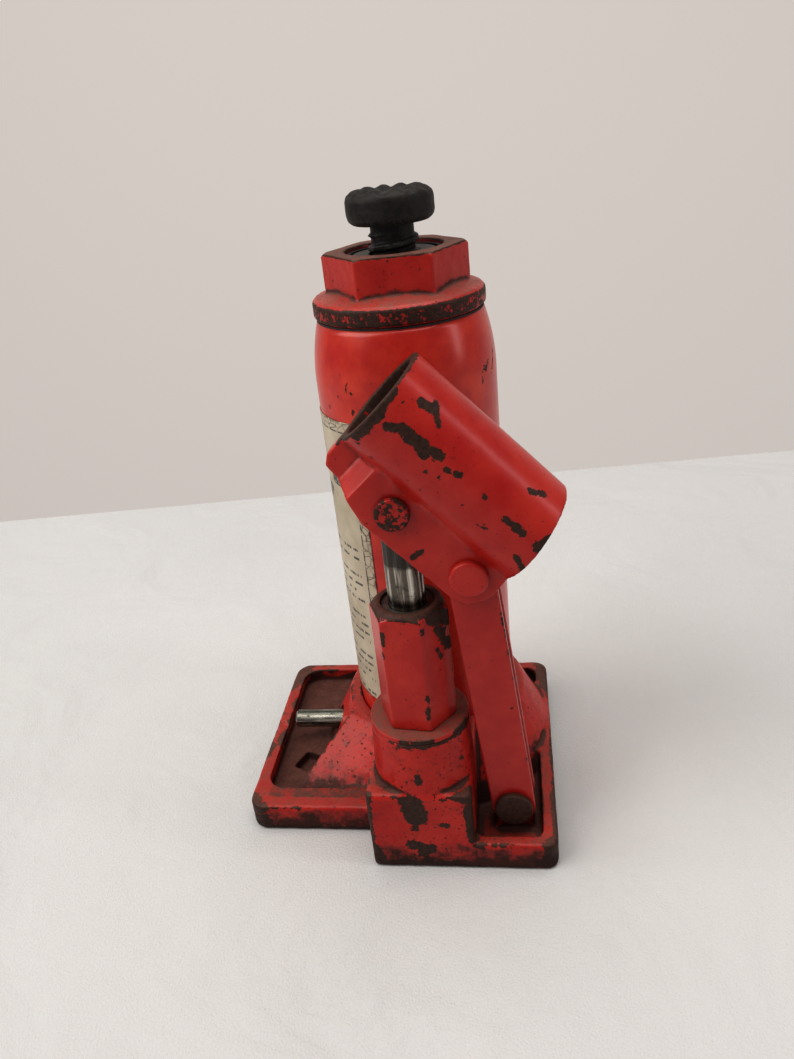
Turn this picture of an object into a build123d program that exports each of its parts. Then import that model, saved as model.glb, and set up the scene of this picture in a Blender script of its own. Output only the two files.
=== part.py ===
# Hydraulic bottle jack: cast base, oil reservoir, ram with extension screw, hand pump and handle linkage.
# Origin on the ram axis at the underside of the base. +Z is up, +X is the side of the links and
# -Y is the side of the pump. All sizes are in millimetres.
from build123d import *
import os
from math import asin, cos, degrees, radians, sin, sqrt

# ---------------------------------------------------------------- clearances
run_gap = 0.05          # radial gap of a piece that slides or turns in another
seat_gap = 0.04         # radial gap of a piece that sits still in another
fit_gap = 0.02          # gap of a seal, plug or valve piece in its place
side_gap = 0.25         # gap between plates that pass each other in the linkage

# ---------------------------------------------------------------- base casting
left_shelf = 30.05      # from the ring that holds the reservoir to the foot's edges
right_shelf = 9.05
back_shelf = 1.55
front_shelf = 15.85     # beside the pump block
rim_height = 10.0
rim_width = 4.6
floor_height = 5.0
block_left_wall = 2.2   # how far the pump block stands out round the collar
block_front_wall = 1.0
block_height = 29.3
ring_height = 26.0      # ring that holds the reservoir
ring_wall = 3.9
skirt_spread = 10.5     # how much wider the cast skirt of the ring is at the floor
seat_height = 20.0      # floor of the oil space
cylinder_seat = 15.0    # floor under the ram cylinder
foot_corner = 6.0       # radius of the foot's outer corners, in plan
foot_edge = 1.2         # radius of the foot's upper edge
under_edge = 0.6        # chamfer under the foot
rim_front = 9.5         # width of the rim in front of the left pocket
block_edge = 1.5
buttress_foot = [(11, 9.3), (47, 3.8), (47, 36.8), (24, 32.8)]      # from the foot's front left corner
buttress_top = [(32, 29.8), (47, 17.8), (47, 32.8), (37, 35.8)]
notch_place = (14.5, 27.3)
notch_size = (6.3, 8.0, 3.2)    # pit in the floor of the left pocket
notch_turn = -24.0

# ---------------------------------------------------------------- reservoir and ram cylinder
reservoir_d = 54.0
reservoir_wall = 2.0
reservoir_length = 137.2
shoulder_height = 18.0  # height of the inward curve under the top nut
shoulder_drop = 2.7     # how much the radius shrinks over the shoulder
cylinder_wall = 4.0
gasket_thickness = 1.0
strainer_height = 1.5
filler_drop = 30.2      # below the top of the reservoir
filler_hole_r = 4.0
filler_head_r = 6.0
filler_head = 1.5
label_rise = 7.0        # above the ring
label_drop = 25.7       # below the top of the reservoir
label_edge = -117.5     # right edge of the label, in degrees round the ram axis from +X
label_span = 108.0
label_thickness = 0.15

# ---------------------------------------------------------------- top nut
nut_overhang = 0.7      # of the flange over the top of the reservoir
top_gasket_thickness = 0.6
nut_flange_edge = 5.6
nut_hex_af = 36.3
nut_hex_rise = 7.4      # from the underside of the flange to the foot of the hexagon
nut_hex_height = 10.0
nut_turn = 5.25         # how far the nut was tightened, in degrees
nut_skirt = 7.0         # length of the nut's skirt inside the reservoir
nut_cylinder_seat = 4.2
nut_flange_chamfer = 0.8
nut_skirt_gap = 0.2     # round the skirt, inside the reservoir
wiper_width = 1.4
wiper_depth = 4.0
wiper_sink = 1.2

# ---------------------------------------------------------------- ram and extension screw
ram_d = 25.0
ram_sink = 1.4          # of the ram's end below the top of the nut, with the ram down
ram_rest = 2.5          # between the ram's foot and the gasket under the cylinder
piston_step = 2.5       # how much wider the piston is than the ram, per side
ram_stroke = 100.0
screw_d = 14.5
screw_pitch = 4.0
screw_thread_depth = 1.1
screw_length = 70.0
screw_stroke = 48.0
screw_ring_d = 17.0
saddle_d = 24.8
saddle_gap = 7.7        # between the ram and the saddle, with the screw down
saddle_height = 9.5
saddle_teeth = 10
saddle_hollow_r = 5.0
saddle_hollow = 1.6
saddle_spigot_r = 4.5
saddle_bore_depth = 5.0
saddle_top_round = 3.4
saddle_foot_round = 2.0
saddle_notch_r = 1.7    # grooves between the teeth
piston_height = 16.0
cup_rise = 3.0          # from the ram's foot to the cup seal
cup_height = 5.0
cup_width = 4.0
backup_height = 2.5
stop_rise = 1.5         # from the screw's foot to its stop ring
stop_height = 1.5
stop_groove_depth = 2.2

# ---------------------------------------------------------------- pump
pump_reach = 14.05      # from the ring to the pump axis
pump_hex_wall = 2.6     # round the packing
pump_hex_height = 38.8
pump_turn = -7.35
pump_washer = 1.6
collar_wall = 7.0
collar_height = 18.3    # above the pump block
collar_draft = 0.9      # how much wider the collar is at its foot
plunger_d = 10.6
plunger_foot = 41.0
spigot_wall = 2.7
spigot_foot = 20.0
packing_width = 2.2
pocket_depth = 8.0      # of the packing's pocket in the top of the pump body
packing_height = 5.6
packing_washer_height = 1.4
plunger_seal_rise = 4.0
plunger_seal_height = 2.4
plunger_seal_width = 1.6

# ---------------------------------------------------------------- handle linkage
pin_spacing = 26.8      # plunger pin to link pin, in the handle socket
link_length = 83.9
foot_pin_x = 26.8
foot_pin_z = 15.6
socket_rise = 46.8      # angle of the line from the link pin to the plunger pin, above level
pin_d = 6.0
foot_pin_d = 7.0
plunger_pin_head_d = 9.4
link_pin_head_d = 10.5
foot_pin_head_d = 11.6
pin_head = 2.2
clip_thickness = 0.8
clip_width = 2.2        # how far a clip stands out round its pin
clip_groove = 0.7       # depth of the pin's groove for it
sheet = 2.5             # thickness of the socket's steel
link_plate = 2.5
link_width = 13.3
link_play = 1.75        # how much bigger the links' upper holes are than their pin, per side
ear_play = 0.5          # between the plunger and each ear of the socket
lug_play = 0.2          # between the lug and each link
socket_d = 28.6
socket_axis_rise = 18.4 # socket axis above the line of the two pins
socket_back = 21.8      # open end for the handle, from the plunger pin
socket_front = 30.0     # far end of the tube at its top
socket_slant = 5.2      # how much further the far end reaches beside the link pin
ear_drop = 8.2
ear_round = 8.5
ramp_start = 10.8       # where the ears begin to close in, from the plunger pin
tab_end = 15.2          # where they meet

# ---------------------------------------------------------------- release valve
valve_y = -5.5
valve_z = 13.0
valve_stem_d = 6.4
valve_thread_d = 8.0
valve_stem_out = 21.65  # how far the spindle stands out of the ring
valve_seat = 14.0
valve_thread_inset = 2.0    # of the thread's inner end in the wall of the reservoir
valve_neck_out = 3.05   # from the ring to where the spindle's plain outer end begins
valve_travel = 1.5      # how far the ball and spindle back off in one turn
valve_ball_r = 1.6
valve_hole_r = 1.0
valve_chamber_r = 1.9
valve_inlet = 9.0       # hole from the ram cylinder to the release valve's seat
valve_return_inset = 0.5    # of the return hole from the middle of the oil space
valve_return_r = 1.4
valve_groove_back = 4.4
valve_groove_width = 2.0
valve_groove_depth = 1.2

# ---------------------------------------------------------------- inlet and outlet valves
chamber_r = 4.0
inlet_seat = 12.0
inlet_hole_r = 2.0
inlet_ball_r = 2.8
outlet_seat = 6.5
outlet_hole_r = 1.5
outlet_ball_r = 2.4
outlet_well_r = 3.4
outlet_hole_floor = 3.2
outlet_cage_height = 1.4
outlet_cage_hole_r = 1.3
spring_r = 1.5
spring_wire_r = 0.2
spring_turns = 2.5
riser_angle = -68.68    # hole from the oil space down to the inlet drilling
riser_r = 2.0
delivery_r = 1.4        # sloping hole from the pump to the outlet valve
cross_drilling_z = 6.0
plug_r = 2.5
plug_depth = 4.0
plug_sink = 0.6
ball_seat_lift = 0.01

LOW = (Align.CENTER, Align.CENTER, Align.MIN)


def disc(radius, low, high, x=0.0, y=0.0):
    """Upright round bar between two heights."""
    return Pos(x, y, low) * Cylinder(radius, high - low, align=LOW)


def ring(outer, inner, low, high, x=0.0, y=0.0):
    """Upright ring between two heights."""
    return disc(outer, low, high, x, y) - disc(inner, low - 1, high + 1, x, y)


def rod(start, end, radius):
    """Round bar between two points."""
    axis = Vector(*end) - Vector(*start)
    return Plane(Vector(*start), z_dir=axis) * Cylinder(radius, axis.length, align=LOW)


def cross_rod(x, z, radius, reach=20.0):
    """Level round bar along Y through the middle plane of the pump."""
    return rod((x, pump_y - reach, z), (x, pump_y + reach, z), radius)


def block(x_low, x_high, y_low, y_high, z_low, z_high):
    """Box between two corners."""
    return Pos(x_low, y_low, z_low) * Box(
        x_high - x_low, y_high - y_low, z_high - z_low, align=(Align.MIN, Align.MIN, Align.MIN)
    )


def rounded_plate(x_low, x_high, y_low, y_high, z_low, z_high, corner):
    """Flat block whose upright corners are rounded."""
    sketch = Pos((x_low + x_high) / 2, (y_low + y_high) / 2) * RectangleRounded(
        x_high - x_low, y_high - y_low, corner
    )
    return Pos(0, 0, z_low) * extrude(sketch, amount=z_high - z_low)


def hexagon(across_flats, low, high, turn, x=0.0, y=0.0):
    """Upright hexagonal bar."""
    sketch = RegularPolygon(across_flats / 2, 6, major_radius=False, rotation=turn)
    return Pos(x, y, low) * extrude(sketch, amount=high - low)


def turned(*points):
    """Body turned round the Z axis from (radius, height) points."""
    outline = make_face(Polyline(*[(r, 0, z) for r, z in points], close=True))
    return revolve(outline, Axis.Z)


# ---------------------------------------------------------------- places worked out from the sizes
reservoir_r = reservoir_d / 2
ring_r = reservoir_r + run_gap + ring_wall
ram_r = ram_d / 2
bore_r = ram_r + piston_step
cylinder_r = bore_r + cylinder_wall
oil_middle = (cylinder_r + reservoir_r - reservoir_wall) / 2
screw_r = screw_d / 2
plunger_r = plunger_d / 2
pocket_r = plunger_r + packing_width
spigot_r = plunger_r + spigot_wall
collar_r = spigot_r + collar_wall
pump_hex_af = 2 * (pocket_r + pump_hex_wall)
ear_inner = plunger_r + ear_play
ear_outer = ear_inner + sheet
lug_half = ear_inner - side_gap - link_plate - lug_play
pump_y = -(ring_r + pump_reach)
base_left = ring_r + left_shelf
base_right = ring_r + right_shelf
base_back = ring_r + back_shelf
foot_front = ring_r + front_shelf
block_left = collar_r + block_left_wall
block_right = collar_r
base_front = collar_r + block_front_wall - pump_y
reservoir_top = seat_height + gasket_thickness + reservoir_length
nut_flange_low = reservoir_top + top_gasket_thickness
nut_flange_r = reservoir_r - shoulder_drop + nut_overhang
nut_hex_root = nut_flange_low + nut_hex_rise
nut_top = nut_hex_root + nut_hex_height
ram_foot = cylinder_seat + gasket_thickness + ram_rest
ram_top = nut_top - ram_sink
saddle_low = ram_top + saddle_gap
saddle_top = saddle_low + saddle_height
filler_height = reservoir_top - filler_drop
collar_top = block_height + collar_height
pump_hex_low = collar_top + pump_washer
pump_hex_top = pump_hex_low + pump_hex_height
lean = asin((foot_pin_x - pin_spacing * cos(radians(socket_rise))) / link_length)
link_pin_x = foot_pin_x - link_length * sin(lean)
link_pin_z = foot_pin_z + link_length * cos(lean)
plunger_pin_z = link_pin_z + pin_spacing * sin(radians(socket_rise))
socket_r = socket_d / 2
socket_bore_r = socket_r - sheet
front_link_y = pump_y - ear_inner + side_gap
rear_link_y = pump_y + ear_inner - side_gap - link_plate
socket_frame = Pos(0, pump_y, plunger_pin_z) * Rot(0, socket_rise, 0)
socket_pin_front = pump_y - ear_outer
socket_pin_back = pump_y + ear_outer + 3 * clip_thickness
foot_pin_front = front_link_y
foot_pin_back = rear_link_y + link_plate + 3 * clip_thickness
cylinder_top = nut_flange_low + nut_cylinder_seat
wiper_r = ram_r + wiper_width
wiper_low = nut_top - wiper_depth
cup_low = ram_foot + cup_rise
cup_inner_r = bore_r - cup_width
backup_low = cup_low + cup_height
screw_hole_r = screw_r + run_gap
ring_hole_r = screw_ring_d / 2 + run_gap
screw_foot = saddle_low - screw_length
stop_low = screw_foot + stop_rise
stop_shoulder = stop_low + stop_height + screw_stroke + 0.4
groove_r = screw_r - stop_groove_depth
packing_low = pump_hex_top - pocket_depth
packing_washer_low = packing_low + packing_height
plunger_seal_low = plunger_foot + plunger_seal_rise
plunger_groove_r = plunger_r - plunger_seal_width
valve_end = ring_r + valve_stem_out
valve_thread_start = reservoir_r - valve_thread_inset
valve_neck = ring_r + valve_neck_out
valve_return = oil_middle - valve_return_inset
valve_groove = valve_neck - valve_groove_back
valve_groove_r = valve_thread_d / 2 - valve_groove_depth
outlet_cage_low = cylinder_seat - outlet_cage_height
riser = (oil_middle * cos(radians(riser_angle)), oil_middle * sin(radians(riser_angle)))


def ball_rest(seat, hole_radius, ball_radius):
    """Middle of a ball that lies on the edge of a hole, along the hole's axis."""
    return seat + sqrt(ball_radius**2 - hole_radius**2) + ball_seat_lift


inlet_ball_z = ball_rest(inlet_seat, inlet_hole_r, inlet_ball_r)
outlet_ball_z = ball_rest(outlet_seat, outlet_hole_r, outlet_ball_r)
valve_ball_x = ball_rest(valve_seat, valve_hole_r, valve_ball_r)


# ---------------------------------------------------------------- base casting
def foot_outline():
    """Plan of the casting: the foot and the pump block that stands forward of it."""
    corners = {
        (-base_left, -foot_front): foot_corner,
        (-block_left, -foot_front): 1.5,
        (-block_left, -base_front): 2.5,
        (base_right, -base_front): 4.0,
        (base_right, base_back): 5.0,
        (-base_left, base_back): foot_corner,
    }
    outline = make_face(Polyline(*corners, close=True))
    for (x, y), radius in corners.items():
        corner = outline.vertices().sort_by_distance((x, y, 0))[0]
        outline = fillet(corner, radius)
    return outline


def base_plate():
    """Foot with rounded upper edges and the pockets between its rims."""
    plate = extrude(foot_outline(), amount=rim_height)
    plate = fillet(plate.edges().group_by(Axis.Z)[-1], foot_edge)
    plate = chamfer(plate.edges().group_by(Axis.Z)[0], under_edge)
    left = -base_left + rim_width
    plate -= rounded_plate(
        left, -10, -foot_front + rim_front, base_back - rim_width, floor_height, rim_height + 5, 6
    )
    right = base_right - rim_width
    plate -= rounded_plate(
        block_right, right, -base_front + 4.0, -9, floor_height - 1, rim_height + 5, 3
    )
    plate -= rounded_plate(
        10, right, 8, base_back - rim_width, floor_height, rim_height + 5, 4
    )
    return plate


def ring_mount():
    """Ring for the reservoir with its cast skirt, cut to the plan of the foot."""
    height = ring_height - floor_height
    skirt = Pos(0, 0, floor_height) * Cone(ring_r + skirt_spread, ring_r, height, align=LOW)
    skirt = fillet(skirt.edges().group_by(Axis.Z)[-1], foot_edge)
    skirt += disc(ring_r + skirt_spread, 1, floor_height)
    plan = block(-base_left, base_right - 0.8, -base_front, base_back - 0.8, 0, ring_height + 5)
    return skirt & plan


def buttress():
    """Sloping web between the ring, the pump block and the front rim of the foot."""
    low = Pos(0, 0, floor_height - 1) * make_face(Polyline(*buttress_foot, close=True))
    high = Pos(0, 0, ring_height - 0.5) * make_face(Polyline(*buttress_top, close=True))
    return Pos(-base_left, -foot_front) * loft([low, high], ruled=True)


def pump_block():
    """Block and round collar that the pump body is screwed into."""
    body = block(-block_left, block_right, -base_front, -18, 0, block_height)
    body = fillet(body.edges().filter_by(Axis.Z).group_by(Axis.Y)[0], 2.0)
    body = fillet(body.edges().group_by(Axis.Z)[-1], block_edge)
    body = chamfer(body.edges().group_by(Axis.Z)[0], under_edge)
    foot = block_height - 9
    collar = Pos(0, pump_y, foot) * Cone(collar_r + collar_draft, collar_r, collar_top - foot, align=LOW)
    collar = fillet(collar.edges().group_by(Axis.Z)[-1], 0.6)
    web = block(-9, 9, pump_y, -reservoir_r + 6, ring_height - 6, collar_top - 9)
    return body + collar + web


def link_lug():
    """Lug between the two links, rounded about the foot pin."""
    radius = link_width / 2 - 0.4
    rounded = rod(
        (foot_pin_x, pump_y - lug_half, foot_pin_z), (foot_pin_x, pump_y + lug_half, foot_pin_z), radius
    )
    post = block(
        foot_pin_x - radius, foot_pin_x + radius,
        pump_y - lug_half, pump_y + lug_half, floor_height - 2, foot_pin_z,
    )
    return rounded + post


def oil_passages():
    """Seats, valve wells and drillings for the oil, each to be cut from the casting in turn."""
    pump_well_top = pump_hex_low + 5
    return [
        disc(reservoir_r + seat_gap, seat_height, ring_height + 40),
        disc(cylinder_r + seat_gap, cylinder_seat, seat_height + 1),
        disc(spigot_r + seat_gap, spigot_foot, pump_well_top, 0, pump_y),
        disc(chamber_r, inlet_seat, spigot_foot + 1, 0, pump_y),
        disc(inlet_hole_r, 1, inlet_seat + 1, 0, pump_y),
        disc(plug_r, -1, plug_depth, 0, pump_y),
        disc(riser_r, 1, seat_height + 1, *riser),
        disc(plug_r, -1, plug_depth, *riser),
        rod((0, pump_y, cross_drilling_z), (*riser, cross_drilling_z), outlet_hole_r),
        disc(outlet_well_r, outlet_seat, cylinder_seat + 1),
        disc(outlet_hole_r, outlet_hole_floor, outlet_seat + 1),
        rod((0, pump_y + 2.5, spigot_foot - 4), (0, 0, 4.5), delivery_r),
    ]


def valve_rod(start, end, radius):
    """Round bar on the release valve's axis, between two distances from the ram axis."""
    return rod((-start, valve_y, valve_z), (-end, valve_y, valve_z), radius)


def valve_passages():
    """Threaded bore, ball chamber and oil holes of the release valve, each to be cut in turn."""
    return [
        valve_rod(valve_thread_start - 0.1, base_left, valve_thread_d / 2 + run_gap),
        valve_rod(valve_seat, valve_thread_start, valve_chamber_r),
        valve_rod(valve_inlet, valve_seat + 1, valve_hole_r),
        disc(valve_hole_r, valve_z, cylinder_seat + 1, -valve_inlet, valve_y),
        disc(valve_return_r, valve_z, seat_height + 1, -valve_return, valve_y),
    ]


def base_casting():
    body = base_plate() + ring_mount() + buttress() + pump_block() + link_lug()
    for drilling in oil_passages() + valve_passages():
        body -= drilling
    body -= cross_rod(foot_pin_x, foot_pin_z, foot_pin_d / 2 + run_gap)
    width, length, depth = notch_size
    pit = Box(width, length, 3 * depth, align=LOW)
    across, back = notch_place
    place = Pos(across - base_left, back - foot_front, floor_height - depth)
    return body - place * Rot(0, 0, notch_turn) * pit


# ---------------------------------------------------------------- reservoir, cylinder and top nut
def reservoir_tube():
    """Tube with a shoulder that curves in under the top nut."""
    foot = seat_height + gasket_thickness
    bend = reservoir_top - shoulder_height
    arc_r = (shoulder_height**2 + shoulder_drop**2) / (2 * shoulder_drop)
    half_turn = asin(shoulder_height / arc_r) / 2

    def wall(radius):
        middle = (radius - arc_r * (1 - cos(half_turn)), 0, bend + arc_r * sin(half_turn))
        side = Line((radius, 0, foot), (radius, 0, bend))
        curve = ThreePointArc((radius, 0, bend), middle, (radius - shoulder_drop, 0, reservoir_top))
        return side, curve

    outer = wall(reservoir_r)
    inner = wall(reservoir_r - reservoir_wall)
    foot_line = Line((reservoir_r - reservoir_wall, 0, foot), (reservoir_r, 0, foot))
    top_line = Line(outer[1] @ 1, inner[1] @ 1)
    section = make_face([*outer, *inner, foot_line, top_line])
    tube = revolve(section, Axis.Z)
    return tube - rod((0, 0, filler_height), (0, reservoir_d, filler_height), filler_hole_r)


def filler_plug():
    """Rubber plug in the back of the reservoir."""
    inside = reservoir_r - reservoir_wall - 2 * filler_head
    under_head = reservoir_r + 0.3
    outside = under_head + filler_head
    stem = rod((0, inside, filler_height), (0, outside, filler_height), filler_hole_r - seat_gap)
    head = rod((0, under_head, filler_height), (0, outside, filler_height), filler_head_r)
    head = fillet(head.edges().group_by(Axis.Y)[-1], 0.6 * filler_head)
    bore = rod((0, inside - 1, filler_height), (0, under_head, filler_height), 0.35 * filler_hole_r)
    return stem + head - bore


def top_nut():
    """Hexagonal cap with a flange; its skirt locates the cylinder and its bore guides the ram."""
    edge_top = nut_flange_low + nut_flange_edge
    skirt_r = reservoir_r - reservoir_wall - shoulder_drop - nut_skirt_gap
    cap = turned(
        (0, nut_flange_low - nut_skirt), (skirt_r, nut_flange_low - nut_skirt), (skirt_r, nut_flange_low),
        (nut_flange_r - nut_flange_chamfer, nut_flange_low),
        (nut_flange_r, nut_flange_low + nut_flange_chamfer),
        (nut_flange_r, edge_top - 1.0), (nut_flange_r - 1.0, edge_top), (nut_hex_af / 2, nut_hex_root),
        (nut_hex_af / 2 - 2, nut_hex_root + 1), (0, nut_hex_root + 1),
    )
    corner_r = nut_hex_af / sqrt(3)
    crown = turned(
        (0, nut_hex_root - 4), (corner_r + 1, nut_hex_root - 4), (corner_r + 1, nut_top - 1.5),
        (corner_r - 1.3, nut_top), (0, nut_top),
    )
    cap += hexagon(nut_hex_af, nut_hex_root - 4, nut_top, nut_turn) & crown
    cap -= disc(cylinder_r + seat_gap, nut_flange_low - nut_skirt - 1, cylinder_top)
    cap -= disc(ram_r + run_gap, cylinder_top - 1, nut_top + 1)
    cap -= disc(wiper_r + seat_gap, wiper_low, nut_top + 1)
    return cap


def ram_cylinder():
    foot = cylinder_seat + gasket_thickness
    return ring(cylinder_r, bore_r, foot, cylinder_top)


# ---------------------------------------------------------------- ram, extension screw and saddle
def ram():
    """Hollow ram with its piston at the foot and the screw hole from the top."""
    rod_part = disc(ram_r, ram_foot, ram_top)
    rod_part = chamfer(rod_part.edges().group_by(Axis.Z)[-1], 0.8)
    piston = disc(bore_r - run_gap, ram_foot, ram_foot + piston_height)
    piston = chamfer(piston.edges().group_by(Axis.Z)[0], 1.0)
    body = rod_part + piston
    body -= ring(bore_r + 1, cup_inner_r, cup_low, backup_low + backup_height)
    body -= disc(ring_hole_r, screw_foot - 3, stop_shoulder)
    body -= disc(screw_hole_r, stop_shoulder - 1, ram_top + 1)
    return body


def extension_screw():
    """Screw with round-bottomed thread rings, a plain neck and a spigot for the saddle."""
    body = disc(screw_r - screw_thread_depth, screw_foot, saddle_low)
    turns = int((saddle_low - 6 - screw_foot) / screw_pitch)
    crest = screw_pitch * 0.24
    flank = screw_pitch * 0.14
    first = stop_low + stop_height + screw_pitch * 0.6
    for turn in range(turns):
        low = first + turn * screw_pitch
        core = screw_r - screw_thread_depth - 0.2
        if low + 2 * (crest + flank) < saddle_low - 1.0:
            body += turned(
                (0, low), (core, low), (screw_r, low + flank),
                (screw_r, low + flank + 2 * crest), (core, low + 2 * (flank + crest)),
                (0, low + 2 * (flank + crest)),
            )
    body += disc(screw_r - 0.2, saddle_low - 1.6, saddle_low)
    body += disc(saddle_spigot_r, saddle_low - 1, saddle_low + saddle_bore_depth - 0.5)
    body += disc(screw_r - 0.4, screw_foot, stop_low)
    body -= ring(screw_r + 1, groove_r, stop_low, stop_low + stop_height)
    return chamfer(body.edges().group_by(Axis.Z)[0], 0.5)


def saddle():
    """Round load pad with a toothed rim and a shallow hollow in the middle."""
    radius = saddle_d / 2
    pad = disc(radius, saddle_low, saddle_top)
    pad = fillet(pad.edges().group_by(Axis.Z)[-1], saddle_top_round)
    pad = fillet(pad.edges().group_by(Axis.Z)[0], saddle_foot_round)
    pad -= disc(saddle_hollow_r, saddle_top - saddle_hollow, saddle_top + 1)
    for tooth in range(saddle_teeth):
        notch = rod((3, 0, saddle_top + 0.9), (radius + 2, 0, saddle_top - 0.9), saddle_notch_r)
        pad -= Rot(0, 0, (tooth + 0.5) * 360 / saddle_teeth) * notch
    pad -= disc(saddle_spigot_r + seat_gap, saddle_low - 1, saddle_low + saddle_bore_depth)
    return pad


# ---------------------------------------------------------------- pump
def pump_body():
    """Hexagonal pump cylinder with a round spigot and a pocket for the packing."""
    corner_r = pump_hex_af / sqrt(3)
    crown = turned(
        (0, pump_hex_low), (corner_r - 0.7, pump_hex_low), (corner_r + 1, pump_hex_low + 1.2),
        (corner_r + 1, pump_hex_top - 3.2), (pump_hex_af / 2 - 1.0, pump_hex_top), (0, pump_hex_top),
    )
    body = hexagon(pump_hex_af, pump_hex_low, pump_hex_top, pump_turn) & crown
    body += disc(spigot_r, spigot_foot, pump_hex_low + 1)
    body -= disc(plunger_r + run_gap, spigot_foot - 1, pump_hex_top + 1)
    body -= disc(pocket_r, pump_hex_top - pocket_depth, pump_hex_top + 1)
    return Pos(0, pump_y, 0) * body


def pump_plunger():
    """Plunger whose top is rounded about its pin."""
    top_r = plunger_r + 0.2
    body = disc(plunger_r, plunger_foot, plunger_pin_z)
    cheek = disc(plunger_r, plunger_pin_z - 1, plunger_pin_z + top_r)
    round_top = rod((0, -plunger_d, plunger_pin_z), (0, plunger_d, plunger_pin_z), top_r)
    body += cheek & (round_top + disc(plunger_r + 1, plunger_pin_z - 2, plunger_pin_z))
    body = chamfer(body.edges().group_by(Axis.Z)[0], 0.6)
    body -= ring(plunger_r + 1, plunger_groove_r, plunger_seal_low, plunger_seal_low + plunger_seal_height)
    return Pos(0, pump_y, 0) * body - cross_rod(0, plunger_pin_z, pin_d / 2 + run_gap)


# ---------------------------------------------------------------- handle linkage
def socket_section():
    """Section across the socket: a tube that runs down into two flat ears."""
    outer = Pos(0, socket_axis_rise) * Circle(socket_r)
    outer += Pos(0, (socket_axis_rise - 20) / 2) * Rectangle(2 * ear_outer, socket_axis_rise + 20)
    neck = socket_axis_rise - sqrt(socket_r**2 - ear_outer**2)
    outer = fillet(outer.vertices().filter_by(lambda v: abs(v.Y - neck) < 0.01), 3.0)
    inner = Pos(0, socket_axis_rise) * Circle(socket_bore_r)
    inner += Pos(0, (socket_axis_rise - 40) / 2) * Rectangle(2 * ear_inner, socket_axis_rise + 40)
    return outer - inner


def socket_outline():
    """Side view of the main part of the socket, from the ramp to the rounded ear end."""
    top = socket_axis_rise + socket_r
    start = -ramp_start
    points = [
        (start, top + 1), (socket_front, top + 1), (socket_front + socket_slant, 1.5),
        (pin_spacing + ear_round - 0.4, -2.5), (pin_spacing + ear_round * 0.7, -ear_drop + 1.7),
        (pin_spacing + 1.5, -ear_drop), (-3.5, -ear_drop), (start, -ear_drop + 2.4),
    ]
    outline = make_face(Polyline(*[(u, 0, n) for u, n in points], close=True))
    return extrude(outline, amount=40, both=True)


def socket_tab():
    """Ears pressed together under the open end, with the ramps that lead out to the full gap."""
    half = sheet * 1.02
    plan = [
        (-socket_back, half), (-tab_end, half), (-ramp_start, ear_outer), (-ramp_start + 0.6, ear_outer),
        (-ramp_start + 0.6, ear_inner), (-ramp_start - 0.2, ear_inner), (-tab_end + 0.6, 0.0),
    ]
    sides = plan + [(u, -v) for u, v in plan[::-1] if v > 0] + [(-socket_back, -half)]
    slab = Pos(0, 0, -12) * extrude(make_face(Polyline(*sides[:-1], close=True)), amount=12 + 8)
    side_view = make_face(
        Polyline(
            (-socket_back, 0, 8), (-socket_back, 0, -1.8), (-socket_back + 1.8, 0, -4.6),
            (-tab_end - 1.5, 0, -5.0), (-ramp_start, 0, -ear_drop + 2.4),
            (-ramp_start + 2, 0, -ear_drop + 2.0), (-ramp_start + 2, 0, 8), close=True,
        )
    )
    return slab & extrude(side_view, amount=30, both=True)


def handle_socket():
    """Folded sheet-steel socket, made level along X with the plunger pin at the origin."""
    along = Plane(origin=(-ramp_start, 0, 0), x_dir=(0, 1, 0), z_dir=(1, 0, 0))
    body = extrude(along * socket_section(), amount=ramp_start + socket_front + socket_slant + 5)
    body &= socket_outline()
    mouth = rod((-socket_back, 0, socket_axis_rise), (-ramp_start + 0.3, 0, socket_axis_rise), socket_r)
    body += mouth + socket_tab()
    body -= rod((-40, 0, socket_axis_rise), (60, 0, socket_axis_rise), socket_bore_r)
    for pin_u in (0, pin_spacing):
        body -= rod((pin_u, -20, 0), (pin_u, 20, 0), pin_d / 2 + seat_gap)
    return socket_frame * body


def link(front_face_y, name_label):
    """Flat link with round ends; its upper hole is larger than the pin, its lower hole fits."""
    half = link_width / 2
    low = (0, 0)
    high = (0, link_length)
    plan = Circle(half) + Pos(*high) * Circle(half)
    plan += Pos(0, link_length / 2) * Rectangle(link_width, link_length)
    plan -= Circle(foot_pin_d / 2 + seat_gap)
    plan -= Pos(*high) * Circle(pin_d / 2 + link_play)
    plate = extrude(plan, amount=link_plate)
    plate = chamfer(plate.edges().filter_by(GeomType.LINE).filter_by(Axis.Z, reverse=True), 0.25)
    pivot = (foot_pin_x, front_face_y + link_plate, foot_pin_z)
    upright = Plane(origin=pivot, x_dir=(1, 0, 0), z_dir=(0, -1, 0))
    leaning = upright * Rot(0, 0, degrees(lean)) * plate
    leaning.label = name_label
    return leaning


def headed_pin(x, z, shank_r, head_r, front, back):
    """Pin with a rounded head at the front and a clip groove at the back."""
    body = rod((x, front, z), (x, back, z), shank_r)
    body = chamfer(body.edges().group_by(Axis.Y)[-1], 0.5)
    head = rod((x, front - pin_head, z), (x, front, z), head_r)
    head = fillet(head.edges().group_by(Axis.Y)[0], 0.8)
    groove_front = back - 2 * clip_thickness
    groove = rod((x, groove_front, z), (x, groove_front + clip_thickness, z), shank_r + 1)
    groove -= rod((x, groove_front - 1, z), (x, back, z), shank_r - clip_groove)
    return body + head - groove


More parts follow.
